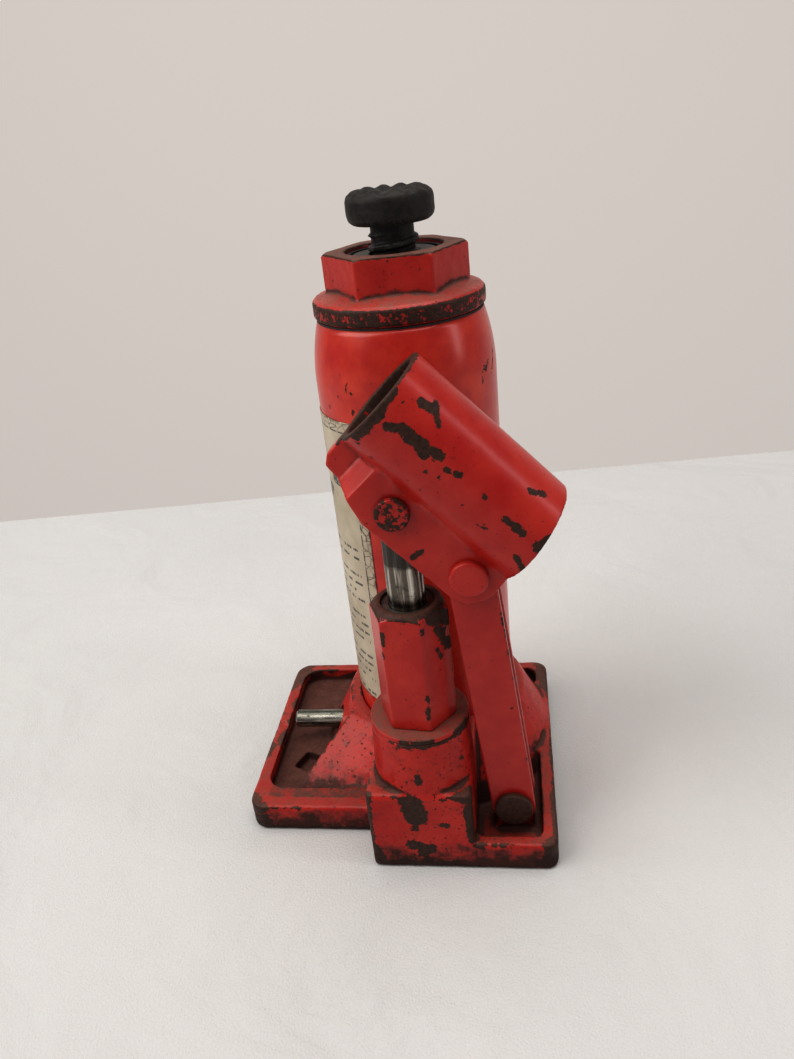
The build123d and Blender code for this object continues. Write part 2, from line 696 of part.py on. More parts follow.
def clip(x, z, shank_r, back, opening_turn):
    """Spring clip in a pin's groove, open on one side."""
    outer = shank_r + clip_width
    groove_front = back - 2 * clip_thickness + 0.05
    flat = Circle(outer) - Circle(shank_r - clip_groove + seat_gap)
    flat -= Pos(outer, 0) * Rectangle(2 * outer, shank_r * 1.3)
    flat = Rot(0, 0, opening_turn) * flat
    place = Plane(origin=(x, groove_front, z), x_dir=(1, 0, 0), z_dir=(0, 1, 0))
    return extrude(place * flat, amount=clip_thickness - 0.1)


# ---------------------------------------------------------------- release valve
def release_spindle():
    """Spindle with a nose for the ball, a threaded part, a seal groove and a plain outer end."""
    nose = valve_ball_x + valve_ball_r + 0.1
    body = valve_rod(nose, valve_thread_start + 1, valve_chamber_r - 0.3)
    body += valve_rod(valve_thread_start + valve_travel * 0.3, valve_neck, valve_thread_d / 2)
    body += valve_rod(valve_neck, valve_end, valve_stem_d / 2)
    body = chamfer(body.edges().group_by(Axis.X)[0], 0.7)
    groove = valve_rod(valve_groove, valve_groove + valve_groove_width, valve_thread_d)
    groove -= valve_rod(valve_groove - 1, valve_groove + valve_groove_width + 1, valve_groove_r)
    return body - groove


def valve_seal():
    start = valve_groove + 0.1
    end = valve_groove + valve_groove_width - 0.1
    bore = valve_rod(start - 1, end + 1, valve_groove_r + fit_gap)
    return valve_rod(start, end, valve_thread_d / 2) - bore


def outlet_spring():
    """Light spring that closes the outlet ball."""
    clear = spring_wire_r + 0.05
    low = outlet_ball_z + outlet_ball_r + clear
    height = outlet_cage_low - low - clear
    path = Helix(pitch=height / spring_turns, height=height, radius=spring_r)
    start = path @ 0
    wire = sweep(Plane(origin=start, z_dir=path % 0) * Circle(spring_wire_r), path=path)
    return Pos(0, 0, low) * wire


def reservoir_label():
    """Thin printed sheet round the side of the reservoir."""
    inner = reservoir_r + fit_gap
    low, high = ring_height + label_rise, reservoir_top - label_drop
    sleeve = ring(inner + label_thickness, inner, low, high)
    reach = 3 * reservoir_r
    corners = [(0, 0)]
    for third in range(4):
        angle = radians(label_edge - third * label_span / 3)
        corners.append((reach * cos(angle), reach * sin(angle)))
    wedge = extrude(make_face(Polyline(*corners, close=True)), amount=reservoir_top)
    return sleeve & wedge


pieces = {
    "base_casting": base_casting(),
    "reservoir_tube": reservoir_tube(),
    "reservoir_gasket": ring(
        reservoir_r, reservoir_r - reservoir_wall - 0.4, seat_height, seat_height + gasket_thickness
    ),
    "reservoir_label": reservoir_label(),
    "filler_plug": filler_plug(),
    "top_nut": top_nut(),
    "top_gasket": ring(
        reservoir_r - shoulder_drop, reservoir_r - shoulder_drop - reservoir_wall + 0.1,
        reservoir_top, nut_flange_low,
    ),
    "ram_cylinder": ram_cylinder(),
    "cylinder_gasket": ring(cylinder_r, bore_r, cylinder_seat, cylinder_seat + gasket_thickness),
    "ram_wiper": ring(wiper_r, ram_r + run_gap, wiper_low, nut_top - wiper_sink),
    "ram": ram(),
    "ram_cup_seal": ring(bore_r - fit_gap, cup_inner_r + fit_gap, cup_low, backup_low - fit_gap),
    "ram_backup_ring": ring(
        bore_r - fit_gap, cup_inner_r + fit_gap, backup_low, backup_low + backup_height - fit_gap
    ),
    "screw_stop_ring": ring(
        screw_ring_d / 2, groove_r + run_gap, stop_low + 2 * run_gap, stop_low + stop_height - 2 * run_gap
    ),
    "extension_screw": extension_screw(),
    "saddle": saddle(),
    "pump_body": pump_body(),
    "pump_washer": ring(
        collar_r - 0.2, spigot_r + seat_gap, pump_hex_low - pump_washer, pump_hex_low, 0, pump_y
    ),
    "plunger_packing": ring(
        pocket_r - fit_gap, plunger_r + fit_gap, packing_low, packing_washer_low, 0, pump_y
    ),
    "packing_washer": ring(
        pocket_r - fit_gap, plunger_r + 3 * run_gap,
        packing_washer_low, packing_washer_low + packing_washer_height, 0, pump_y,
    ),
    "pump_plunger": pump_plunger(),
    "plunger_seal": ring(
        plunger_r + fit_gap, plunger_groove_r + fit_gap,
        plunger_seal_low + fit_gap, plunger_seal_low + plunger_seal_height - fit_gap, 0, pump_y,
    ),
    "handle_socket": handle_socket(),
    "front_link": link(front_link_y, "front_link"),
    "rear_link": link(rear_link_y, "rear_link"),
    "plunger_pin": headed_pin(
        0, plunger_pin_z, pin_d / 2, plunger_pin_head_d / 2, socket_pin_front, socket_pin_back
    ),
    "link_pin": headed_pin(
        link_pin_x, link_pin_z, pin_d / 2, link_pin_head_d / 2, socket_pin_front, socket_pin_back
    ),
    "foot_pin": headed_pin(
        foot_pin_x, foot_pin_z, foot_pin_d / 2, foot_pin_head_d / 2, foot_pin_front, foot_pin_back
    ),
    "socket_pin_clips": Compound(
        children=[
            clip(0, plunger_pin_z, pin_d / 2, socket_pin_back, 60),
            clip(link_pin_x, link_pin_z, pin_d / 2, socket_pin_back, 20),
        ]
    ),
    "foot_pin_clip": clip(foot_pin_x, foot_pin_z, foot_pin_d / 2, foot_pin_back, 90),
    "release_ball": Pos(-valve_ball_x, valve_y, valve_z) * Sphere(valve_ball_r),
    "release_spindle": release_spindle(),
    "release_seal": valve_seal(),
    "inlet_ball": Pos(0, pump_y, inlet_ball_z) * Sphere(inlet_ball_r),
    "outlet_ball": Pos(0, 0, outlet_ball_z) * Sphere(outlet_ball_r),
    "outlet_spring": outlet_spring(),
    "outlet_cage": ring(outlet_well_r - fit_gap, outlet_cage_hole_r, outlet_cage_low, cylinder_seat),
    "oil_strainer": ring(
        reservoir_r - reservoir_wall - 0.6, cylinder_r + 0.5,
        seat_height + fit_gap, seat_height + strainer_height,
    ),
    "passage_plugs": Compound(
        children=[
            disc(plug_r - fit_gap, plug_sink, plug_depth - plug_sink, 0, pump_y),
            disc(plug_r - fit_gap, plug_sink, plug_depth - plug_sink, *riser),
        ]
    ),
}

os.makedirs("parts", exist_ok=True)
for node, piece in pieces.items():
    export_step(piece, f"parts/{node}.step")

print("nodes", len(pieces))
print("plunger pin", 0, pump_y, round(plunger_pin_z, 3))
print("link pin", round(link_pin_x, 3), pump_y, round(link_pin_z, 3))
print("stop shoulder", round(stop_shoulder, 2))
print("room for the ram's stroke", round(cylinder_top - ram_foot - piston_height, 1), "of", ram_stroke)
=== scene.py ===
"""Looks of a hydraulic bottle jack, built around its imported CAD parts, in metres."""
import math
import bpy
import numpy as np
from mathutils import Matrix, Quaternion, Vector, noise


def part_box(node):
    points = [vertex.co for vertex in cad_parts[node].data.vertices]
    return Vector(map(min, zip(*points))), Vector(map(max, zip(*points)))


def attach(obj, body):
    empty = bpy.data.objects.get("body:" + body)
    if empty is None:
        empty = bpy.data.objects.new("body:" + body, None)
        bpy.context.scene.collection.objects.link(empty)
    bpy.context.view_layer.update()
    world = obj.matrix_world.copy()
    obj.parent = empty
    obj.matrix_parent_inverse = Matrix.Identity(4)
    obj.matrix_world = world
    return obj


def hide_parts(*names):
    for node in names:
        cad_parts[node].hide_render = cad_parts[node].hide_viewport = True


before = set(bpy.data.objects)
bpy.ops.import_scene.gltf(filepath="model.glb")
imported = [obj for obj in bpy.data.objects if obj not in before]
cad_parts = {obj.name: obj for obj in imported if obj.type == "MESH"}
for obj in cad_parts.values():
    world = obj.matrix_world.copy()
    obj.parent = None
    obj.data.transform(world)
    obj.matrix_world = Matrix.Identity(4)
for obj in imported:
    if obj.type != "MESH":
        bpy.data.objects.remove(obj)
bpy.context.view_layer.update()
MM = 0.001


# ------------------------------------------------------------------ base casting
# One iron casting, painted red: a foot with pockets, the ring that holds the reservoir, the pump
# block and the lug of the links. It is cast in sand, so its edges are round and its faces uneven.
# The paint has flaked at the edges, and the pockets are darkened with greasy dust and painted shade.
def around(mesh, values, rounds):
    """Values at a mesh's points, averaged with their neighbours' a number of times."""
    ends = np.empty(len(mesh.edges) * 2, int)
    mesh.edges.foreach_get("vertices", ends)
    first, second = ends.reshape(-1, 2).T
    count = np.bincount(ends, minlength=len(values)).clip(1)
    columns = [column.copy() for column in np.atleast_2d(values.T)]
    for _ in range(rounds):
        for index, column in enumerate(columns):
            total = np.bincount(first, column[second], len(values))
            total += np.bincount(second, column[first], len(values))
            columns[index] = 0.5 * column + 0.5 * total / count
    return np.array(columns).T.reshape(values.shape)


def points_of(mesh, what="co"):
    """The places or the normals of a mesh's points, one row each."""
    values = np.empty(len(mesh.vertices) * 3)
    mesh.vertices.foreach_get(what, values)
    return values.reshape(-1, 3)


def move_points(mesh, places):
    """Puts a mesh's points at new places."""
    mesh.vertices.foreach_set("co", places.ravel())
    mesh.update()


def keep_values(mesh, name, values):
    """Stores one number at each point, which a material reads by that name."""
    attribute = mesh.attributes.new(name, "FLOAT", "POINT")
    attribute.data.foreach_set("value", values.astype(np.float32))


def put(name, data):
    """An object in the scene that shows a mesh, a light or a camera."""
    made = bpy.data.objects.new(name, data)
    bpy.context.scene.collection.objects.link(made)
    return made


def new_piece(name, mesh, body, material):
    """A piece of the jack, with smooth faces, that rides on a body."""
    mesh.name = name
    piece = put(name, mesh)
    mesh.shade_smooth()
    mesh.materials.clear()
    mesh.materials.append(material)
    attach(piece, body)
    return piece


def skin_of(node, grain, softening):
    """Mesh of a CAD node in an even net of small faces, with its edges rounded."""
    copy = put("copy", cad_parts[node].data.copy())
    net = copy.modifiers.new("net", "REMESH")
    net.mode = "VOXEL"
    net.voxel_size = grain
    shapes = bpy.context.evaluated_depsgraph_get()
    mesh = bpy.data.meshes.new_from_object(copy.evaluated_get(shapes))
    bpy.data.objects.remove(copy)
    move_points(mesh, around(mesh, points_of(mesh), softening))
    return mesh


def patches(places, size, seed=0):
    """Soft random numbers, mostly between -1 and 1, in patches of about a size."""
    roughness, ratio, octaves = 1.0, 2.0, 3
    shift = Vector((seed, 0, 0))
    return np.array([noise.fractal(Vector(p) / size + shift, roughness, ratio, octaves) for p in places])


def uneven(mesh, depth, size, seed):
    """Sinks a mesh's points by up to a depth, in soft patches of about a size."""
    places = points_of(mesh)
    sink = 0.5 + 0.5 * patches(places, size, seed).clip(-1, 1)
    move_points(mesh, places - points_of(mesh, "normal") * (depth * sink)[:, None])


def feel(mesh, reach, span, extra_grime_and_shade=0.0):
    """Stores how far each point stands out as an edge, how far it lies in a hollow with the darkening given
    to it, which is dirt and painted shade, and how much it looks up.
    """
    places, normals = points_of(mesh), points_of(mesh, "normal")
    relief = ((places - around(mesh, places, reach)) * normals).sum(axis=1)
    relief = around(mesh, relief, 3) / span
    keep_values(mesh, "edge", relief.clip(0, 1))
    # Hollows and the given darkening make the mask that the enamel paints with dirt and painted shade.
    keep_values(mesh, "hollow", np.maximum((-relief).clip(0, 1), extra_grime_and_shade))
    keep_values(mesh, "up", around(mesh, normals[:, 2], 2).clip(0, 1))


def rub(mesh, marks=(), softness=3.0, bare=0.0):
    """Stores where paint is gone: (start, end, radius) marks in millimetres, and bare places."""
    places = points_of(mesh) / MM
    worn = np.zeros(len(places))
    for start, end, radius in marks:
        a, b = np.array(start, float), np.array(end, float)
        run = b - a
        share = ((places - a) @ run / max(run @ run, 1e-9)).clip(0, 1)
        away = np.linalg.norm(places - a - share[:, None] * run, axis=1)
        worn = np.maximum(worn, (0.5 + (radius - away) / softness).clip(0, 1))
    keep_values(mesh, "worn", np.maximum(worn, bare))


def add(tree, kind, inputs=None, **settings):
    """A shader node with its settings and its inputs, which are values or other nodes' outputs."""
    made = tree.nodes.new(kind)
    for name, value in settings.items():
        setattr(made, name, value)
    for name, value in (inputs or {}).items():
        if isinstance(value, bpy.types.NodeSocket):
            tree.links.new(value, made.inputs[name])
        else:
            made.inputs[name].default_value = value
    return made


def calc(tree, operation, *values):
    """The output of a math node on numbers or other nodes' outputs."""
    return add(tree, "ShaderNodeMath", dict(enumerate(values)), operation=operation).outputs[0]


def times(tree, first, second):
    """The product of two numbers, and so the places where two masks meet."""
    return calc(tree, "MULTIPLY", first, second)


def swing(tree, pattern, width):
    """A pattern from 0 to 1 turned into one that swings about 0, over a width."""
    return times(tree, calc(tree, "SUBTRACT", pattern, 0.5), width)


def step(tree, value, low, high):
    """0 below low, 1 above high and smooth between them."""
    inputs = {"Value": value, "From Min": low, "From Max": high}
    return add(tree, "ShaderNodeMapRange", inputs, interpolation_type="SMOOTHSTEP").outputs[0]


def mixed(tree, share, first, second):
    """The first colour, going over to the second as share goes from 0 to 1."""
    return add(tree, "ShaderNodeMix", {0: share, 6: first, 7: second}, data_type="RGBA").outputs[2]


def cloud(tree, place, scale, detail=2.0, roughness=0.5):
    """Noise whose patches are about 1 / scale metres across."""
    inputs = {"Vector": place, "Scale": scale, "Detail": detail, "Roughness": roughness}
    return add(tree, "ShaderNodeTexNoise", inputs).outputs["Fac"]


def kit(name, inputs, outputs):
    """An empty shader group with named inputs and outputs, and the sockets inside it."""
    tree = bpy.data.node_groups.new(name, "ShaderNodeTree")
    kinds = {"number": "NodeSocketFloat", "colour": "NodeSocketColor", "vector": "NodeSocketVector"}
    for label, kind in inputs.items():
        tree.interface.new_socket(label, in_out="INPUT", socket_type=kinds[kind])
    for label, kind in outputs.items():
        tree.interface.new_socket(label, in_out="OUTPUT", socket_type=kinds[kind])
    given = tree.nodes.new("NodeGroupInput").outputs
    result = tree.nodes.new("NodeGroupOutput").inputs
    return tree, given, result


MASKS = ["Worn", "Edge", "Hollow", "Up"]
# The darkening amount and the dark dirt colour paint both dirt and shade into the hollows.
AMOUNTS = {
    "Specks": 0.0, "Flake Scale": 1300, "Chipping": 0.0, "Edge Chipping": 0.5, "Grime": 0.8, "Dust": 0.5,
}
COLOURS = {
    "Paint": (0.36, 0.009, 0.007, 1), "Faded": (0.46, 0.030, 0.019, 1), "Metal": (0.054, 0.023, 0.014, 1),
    "Dirt And Shade": (0.034, 0.014, 0.010, 1), "Powder": (0.20, 0.090, 0.068, 1),
}


def enamel_wear():
    """Group: paint that has flaked to the metal, with dirt and painted shade in its hollows and then dust on
    top of it.
    """
    inputs = {"Place": "vector"}
    inputs.update({label: "number" for label in [*MASKS, *AMOUNTS]})
    inputs.update({label: "colour" for label in COLOURS})
    outputs = {"Colour": "colour", "Roughness": "number", "Height": "number", "Bare": "number"}
    tree, given, result = kit("enamel wear", inputs, outputs)
    place = given["Place"]

    # Chips: placed marks and worn edges with a ragged outline, and specks in some zones.
    flakes = add(tree, "ShaderNodeTexVoronoi", {"Vector": place, "Scale": given["Flake Scale"]})
    flake = add(tree, "ShaderNodeSeparateColor", {"Color": flakes.outputs["Color"]}).outputs[0]
    blotch = cloud(tree, place, 420, 6.0, 0.72)
    zone = cloud(tree, place, 55, 2.0)
    jag = calc(tree, "ADD", swing(tree, blotch, 1.25), swing(tree, flake, 0.22))
    edge = times(tree, given["Edge"], times(tree, given["Edge Chipping"], step(tree, zone, 0.3, 0.6)))
    marks = calc(tree, "ADD", given["Worn"], edge)
    field = calc(tree, "ADD", marks, calc(tree, "ADD", jag, given["Chipping"]))
    speck = calc(tree, "ADD", cloud(tree, place, 900, 3.0, 0.65), given["Specks"])
    specks = times(tree, step(tree, speck, 0.69, 0.70), step(tree, zone, 0.36, 0.46))
    bare = calc(tree, "MAXIMUM", step(tree, field, 0.49, 0.51), specks)

    # Paint that has faded in patches, and brown metal where it is gone.
    tone = calc(tree, "MULTIPLY_ADD", cloud(tree, place, 120, 5.0, 0.65), 0.6, times(tree, zone, 0.5))
    paint = mixed(tree, step(tree, tone, 0.35, 0.78), given["Paint"], given["Faded"])
    rusty = step(tree, cloud(tree, place, 900, 3.0), 0.4, 0.65)
    colour = mixed(tree, bare, paint, mixed(tree, rusty, given["Metal"], given["Dirt And Shade"]))

    # Greasy dirt and painted shade in the hollows, and dry dust on what looks up.
    stain = cloud(tree, place, 210, 5.0, 0.7)
    hollow_grime_and_shade = calc(tree, "MULTIPLY_ADD", given["Hollow"], 1.1, swing(tree, stain, 1.2))
    grime = times(tree, given["Grime"], step(tree, hollow_grime_and_shade, 0.15, 0.6))
    colour = mixed(tree, grime, colour, given["Dirt And Shade"])
    grain = cloud(tree, place, 1500, 3.0, 0.8)
    settled = times(tree, given["Up"], calc(tree, "MULTIPLY_ADD", stain, 0.9, times(tree, grain, 0.7)))
    powder = times(tree, given["Dust"], step(tree, settled, 0.35, 1.0))
    colour = mixed(tree, powder, colour, given["Powder"])

    # Bare and dusty places, and those darkened by dirt and painted shade, are duller, and chips lie lower
    # than the paint round them.
    rough = calc(tree, "MULTIPLY_ADD", bare, 0.18, calc(tree, "MULTIPLY_ADD", tone, 0.14, 0.28))
    rough = calc(tree, "MAXIMUM", rough, times(tree, calc(tree, "MAXIMUM", grime, powder), 0.85))
    pits = times(tree, times(tree, grain, bare), 0.35)
    height = calc(tree, "ADD", calc(tree, "SUBTRACT", 1.0, bare), pits)
    height = calc(tree, "ADD", height, times(tree, grain, times(tree, powder, 0.8)))
    height = calc(tree, "MULTIPLY_ADD", blotch, 0.35, height)
    for label, value in {"Colour": colour, "Roughness": rough, "Height": height, "Bare": bare}.items():
        tree.links.new(value, result[label])
    return tree


WEAR = enamel_wear()


def new_material(name):
    """A material, its nodes, its shader's inputs, and the place on the piece."""
    material = bpy.data.materials.new(name)
    material.use_nodes = True
    tree = material.node_tree
    place = add(tree, "ShaderNodeTexCoord").outputs["Object"]
    return material, tree, tree.nodes["Principled BSDF"].inputs, place


def emboss(tree, look, height, depth, strength=1.0):
    """Gives a shader the relief of a height from 0 to 1 times a depth."""
    bump = add(tree, "ShaderNodeBump", {"Height": height, "Distance": depth, "Strength": strength})
    tree.links.new(bump.outputs["Normal"], look["Normal"])


def reading(tree, name):
    """The number that a mesh keeps at each point under a name."""
    return add(tree, "ShaderNodeAttribute", attribute_name=name).outputs["Fac"]


def red_enamel(name, gloss, relief, colours=None, **wear):
    """Old red enamel on metal: wear gives the group's amounts for one piece."""
    material, tree, look, place = new_material(name)
    inputs = {"Place": place, **COLOURS, **(colours or {})}
    inputs.update({label: reading(tree, label.lower()) for label in MASKS})
    for label, usual in AMOUNTS.items():
        inputs[label] = wear.get(label.lower().replace(" ", "_"), usual)
    worn = add(tree, "ShaderNodeGroup", inputs, node_tree=WEAR).outputs
    tree.links.new(worn["Colour"], look["Base Color"])
    tree.links.new(worn["Roughness"], look["Roughness"])
    emboss(tree, look, worn["Height"], relief)
    tree.links.new(times(tree, calc(tree, "SUBTRACT", 1.0, worn["Bare"]), gloss), look["Coat Weight"])
    look["Coat Roughness"].default_value = 0.22
    look["Specular IOR Level"].default_value = 0.3
    return material


# Where the casting was knocked: on the block's face, along the rims and at the corners of the foot.
base_marks = [
    ((-3, -61, 26), (-2, -61, 21), 3.4), ((-5, -61, 24), (0, -61, 23), 1.8),
    ((-2.5, -61, 19), (-2.5, -61, 16), 1.0), ((-4, -61, 9.5), (1, -61, 8), 2.0),
    ((-1.5, -61, 9), (-1, -61, 7), 2.2), ((5, -61, 18.5), (7, -61, 18), 0.6),
    ((-17, -61, 29), (-17, -61, 24), 1.6), ((-17, -61, 24), (-17, -61, 12), 0.9),
    ((-17, -61, 7), (-15, -61, 2), 2.8), ((-17, -61, 1), (8, -61, 1), 2.3),
    ((10, -61, 0), (32, -61, 0), 1.0), ((14.5, -61, 23), (15.5, -61, 11), 1.7),
    ((12, -60, 29), (15, -58, 28), 1.6), ((39, -60, 9), (38, -60, 1), 2.6),
    ((34, -61, 3), (38, -61, 3), 1.6), ((40, -57, 9), (40, -40, 9), 1.2), ((40, -54, 4), (40, 20, 2), 1.4),
    ((39, 16, 9), (38, 31, 9), 2.4), ((-60, -38, 3), (-56, -46, 3), 3.2),
    ((-57, -46, 9), (-60, -42, 9), 2.0), ((-52, -46.6, 0), (-18, -46.6, 0), 1.5),
    ((-56.5, 6, 10), (-56.5, 9, 9), 1.2), ((-57, -14, 10), (-57, -11, 9), 1.2),
    ((-60, -22, 10), (-60, -17, 10), 0.8), ((-60, 18, 9), (-56, 31, 10), 1.6),
    ((-61, -40, 2), (-61, 30, 2), 1.3), ((-40, 32, 2), (38, 32, 2), 1.3), ((8, 32, 8), (16, 32, 6), 2.2),
    ((-20, 32, 7), (-15, 32, 9), 1.5), ((-30, 24, 18), (-27, 26, 14), 1.3),
    ((12, -58, 46), (13, -54, 38), 0.5), ((-0.5, -60.5, 36), (0, -60.5, 34), 0.5),
]
casting = skin_of("base_casting", 0.5 * MM, 3)
uneven(casting, 0.22 * MM, 5 * MM, 1)
x, y, z = points_of(casting).T / MM
foot_top, left_rim, right_rim, front_rim, back_rim = 9, -55, 35, -42, 28
on_sides = (1 - np.abs(points_of(casting, "normal")[:, 2])).clip(0, 1)
in_pockets = (x > left_rim) & (x < right_rim) & (y > front_rim) & (y < back_rim)
# Darkening of dirt and painted shade, thin all over, thicker low on the sides and thickest on the floor of
# the pockets.
extra_grime_and_shade = 0.14 + 0.40 * (1.3 - z / foot_top).clip(0, 1) * on_sides
extra_grime_and_shade += 0.5 * in_pockets * (1.6 - z / foot_top).clip(0, 1)
feel(casting, 40, 0.45 * MM, extra_grime_and_shade)
rub(casting, base_marks)
base = new_piece(
    "cast_base", casting, "base",
    red_enamel("cast base enamel", 0.08, 0.18 * MM, edge_chipping=0.8, grime=0.95, dust=0.5, specks=0.05),
)
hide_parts("base_casting")


# ------------------------------------------------------------------ reservoir
# A drawn steel tube with a shoulder under the top nut. Its enamel is smoother and glossier than
# the casting's, orange where the paint is thin, with short chips in rows from knocks.
def round_faces(rows, turns, closed=False):
    """Faces between rows of points round an axis, and from the last row to the first if closed."""
    faces = []
    for row in range(rows if closed else rows - 1):
        above = (row + 1) % rows
        for k in range(turns):
            aside = (k + 1) % turns
            faces.append((row * turns + k, row * turns + aside, above * turns + aside, above * turns + k))
    return faces


def mesh_of(name, verts, faces):
    """A mesh made from its points and faces."""
    mesh = bpy.data.meshes.new(name)
    mesh.from_pydata(verts, [], faces)
    mesh.update()
    return mesh


def lathe(profile, turns, step_size):
    """Mesh turned round the upright axis from (radius, height) points, in a net of small faces."""
    line = [profile[0]]
    for end in profile[1:]:
        start = line[-1]
        count = max(1, round(math.dist(start, end) / step_size))
        line += [
            (start[0] + (end[0] - start[0]) * k / count, start[1] + (end[1] - start[1]) * k / count)
            for k in range(1, count + 1)
        ]
    closed = math.dist(line[0], line[-1]) < 1e-9
    line = line[:-1] if closed else line
    angles = [2 * math.pi * k / turns for k in range(turns)]
    verts = [(r * math.cos(angle), r * math.sin(angle), height) for r, height in line for angle in angles]
    return mesh_of("turned", verts, round_faces(len(line), turns, closed))


tube_low, tube_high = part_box("reservoir_tube")
tube_r, tube_wall = tube_high.x, 2.0 * MM
shoulder, drop = 18.0 * MM, 2.7 * MM
bend_r = (shoulder**2 + drop**2) / (2 * drop)
outside = [(tube_r, tube_low.z), (tube_r, tube_high.z - shoulder)]
for share in range(1, 13):
    rise = shoulder * share / 12
    outside.append((tube_r - bend_r + math.sqrt(bend_r**2 - rise**2), tube_high.z - shoulder + rise))
inside = [(radius - tube_wall, height) for radius, height in reversed(outside)]
tube = lathe(outside + inside + outside[:1], 240, 1.2 * MM)
uneven(tube, 0.05 * MM, 14 * MM, 3)
feel(tube, 6, 0.4 * MM)


def on_tube(degrees, height, length=0.0, radius=0.4, slope=0.0):
    """A chip on the tube at an angle and a height, running up by a length and round by a slope."""
    ends = []
    for side in (-0.5, 0.5):
        angle = math.radians(degrees + side * slope)
        out = tube_r / MM
        ends.append((out * math.cos(angle), out * math.sin(angle), height + side * length))
    return (*ends, radius)


tube_marks = [
    on_tube(-95, 155.2, 1.2, 0.6, 4), on_tube(-101, 153.4, 1.0, 0.35, 2), on_tube(-141, 144.5, 1.6, 0.4),
    on_tube(-126, 146.5, 3.0, 0.3), on_tube(-119.5, 145, 1.4, 0.4), on_tube(-121.5, 142.5, 1.2, 0.35),
    on_tube(-118, 141.5, 1.4, 0.35), on_tube(-140, 136.5, 1.8, 0.45), on_tube(-118.5, 136, 1.0, 0.5),
    on_tube(-129, 140, 0.6, 0.3), on_tube(-29, 143, 1.5, 0.6, 4), on_tube(-24, 143.5, 2.5, 0.6, 5),
    on_tube(-16, 142, 3.0, 0.6, 4), on_tube(-12, 146, 4.0, 0.5, 3), on_tube(-30.5, 140, 2.2, 0.4),
    on_tube(10, 120, 9, 0.6, 6), on_tube(28, 96, 4, 0.9), on_tube(60, 140, 5, 0.7),
    on_tube(-22, 60, 3, 0.5), on_tube(95, 110, 7, 0.5, 8), on_tube(120, 60, 3, 1.1),
    on_tube(75, 50, 9, 0.5, 5), on_tube(40, 45, 2, 1.3),
]
rub(tube, tube_marks, 1.6)
orange = {"Paint": (0.40, 0.006, 0.005, 1), "Faded": (0.58, 0.045, 0.014, 1)}
reservoir = new_piece(
    "drawn_reservoir", tube, "base",
    red_enamel("reservoir enamel", 0.6, 0.08 * MM, orange, flake_scale=1700, chipping=-0.08,
               edge_chipping=0.2, specks=-0.03, grime=0.5, dust=0.15),
)
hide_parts("reservoir_tube")


# ------------------------------------------------------------------ gaskets, seals and plugs
# Rubber, copper and polyurethane rings that close the oil space and the pump, a rubber plug, and
# the steel and brass pieces that are mostly hidden inside.
def plain_finish(name, colour, second, scale, roughness, relief, metallic=0.0):
    """A matt or metal finish with fine mottling, for pieces that are mostly hidden."""
    material, tree, look, place = new_material(name)
    mottle = cloud(tree, place, scale, 4.0, 0.6)
    tree.links.new(mixed(tree, step(tree, mottle, 0.35, 0.65), colour, second), look["Base Color"])
    tree.links.new(calc(tree, "MULTIPLY_ADD", mottle, 0.25, roughness - 0.12), look["Roughness"])
    look["Metallic"].default_value = metallic
    emboss(tree, look, mottle, relief)
    return material


def dress(material, *nodes):
    """Gives CAD pieces that stay as they are their finish."""
    for name in nodes:
        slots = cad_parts[name].data.materials
        slots.clear()
        slots.append(material)


dress(
    plain_finish("black rubber", (0.012, 0.012, 0.012, 1), (0.035, 0.032, 0.030, 1), 900, 0.75, 0.05 * MM),
    "reservoir_gasket", "top_gasket", "filler_plug", "ram_wiper", "release_seal",
)
dress(
    plain_finish("soft copper", (0.45, 0.18, 0.09, 1), (0.25, 0.10, 0.06, 1), 500, 0.35, 0.03 * MM, 1.0),
    "cylinder_gasket",
)
dress(
    plain_finish("seal", (0.40, 0.32, 0.16, 1), (0.30, 0.22, 0.10, 1), 700, 0.5, 0.03 * MM),
    "ram_cup_seal", "ram_backup_ring", "plunger_packing", "plunger_seal",
)
dress(
    plain_finish("oiled steel", (0.42, 0.41, 0.39, 1), (0.22, 0.21, 0.20, 1), 300, 0.28, 0.02 * MM, 1.0),
    "ram_cylinder", "release_ball", "inlet_ball", "outlet_ball", "outlet_spring",
)
dress(
    plain_finish("blackened steel", (0.09, 0.085, 0.08, 1), (0.16, 0.14, 0.12, 1), 400, 0.45, 0.04 * MM, 0.8),
    "screw_stop_ring", "packing_washer", "outlet_cage", "passage_plugs", "socket_pin_clips", "foot_pin_clip",
)
dress(
    plain_finish("strainer brass", (0.45, 0.33, 0.12, 1), (0.30, 0.20, 0.07, 1), 2500, 0.4, 0.1 * MM, 1.0),
    "oil_strainer",
)


# ------------------------------------------------------------------ label
# A printed paper label pasted round the side of the reservoir. It has yellowed, its varnish has
# crazed, and its edges are torn and dirty. Its print is only rules, blots and rows of plain dashes.
label_low, label_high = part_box("reservoir_label")
label_height = label_high.z - label_low.z
label_right, label_span = math.radians(-117.5), math.radians(108)
glue, paper_face = 0.03 * MM, 0.16 * MM
margin = 3.4 * MM


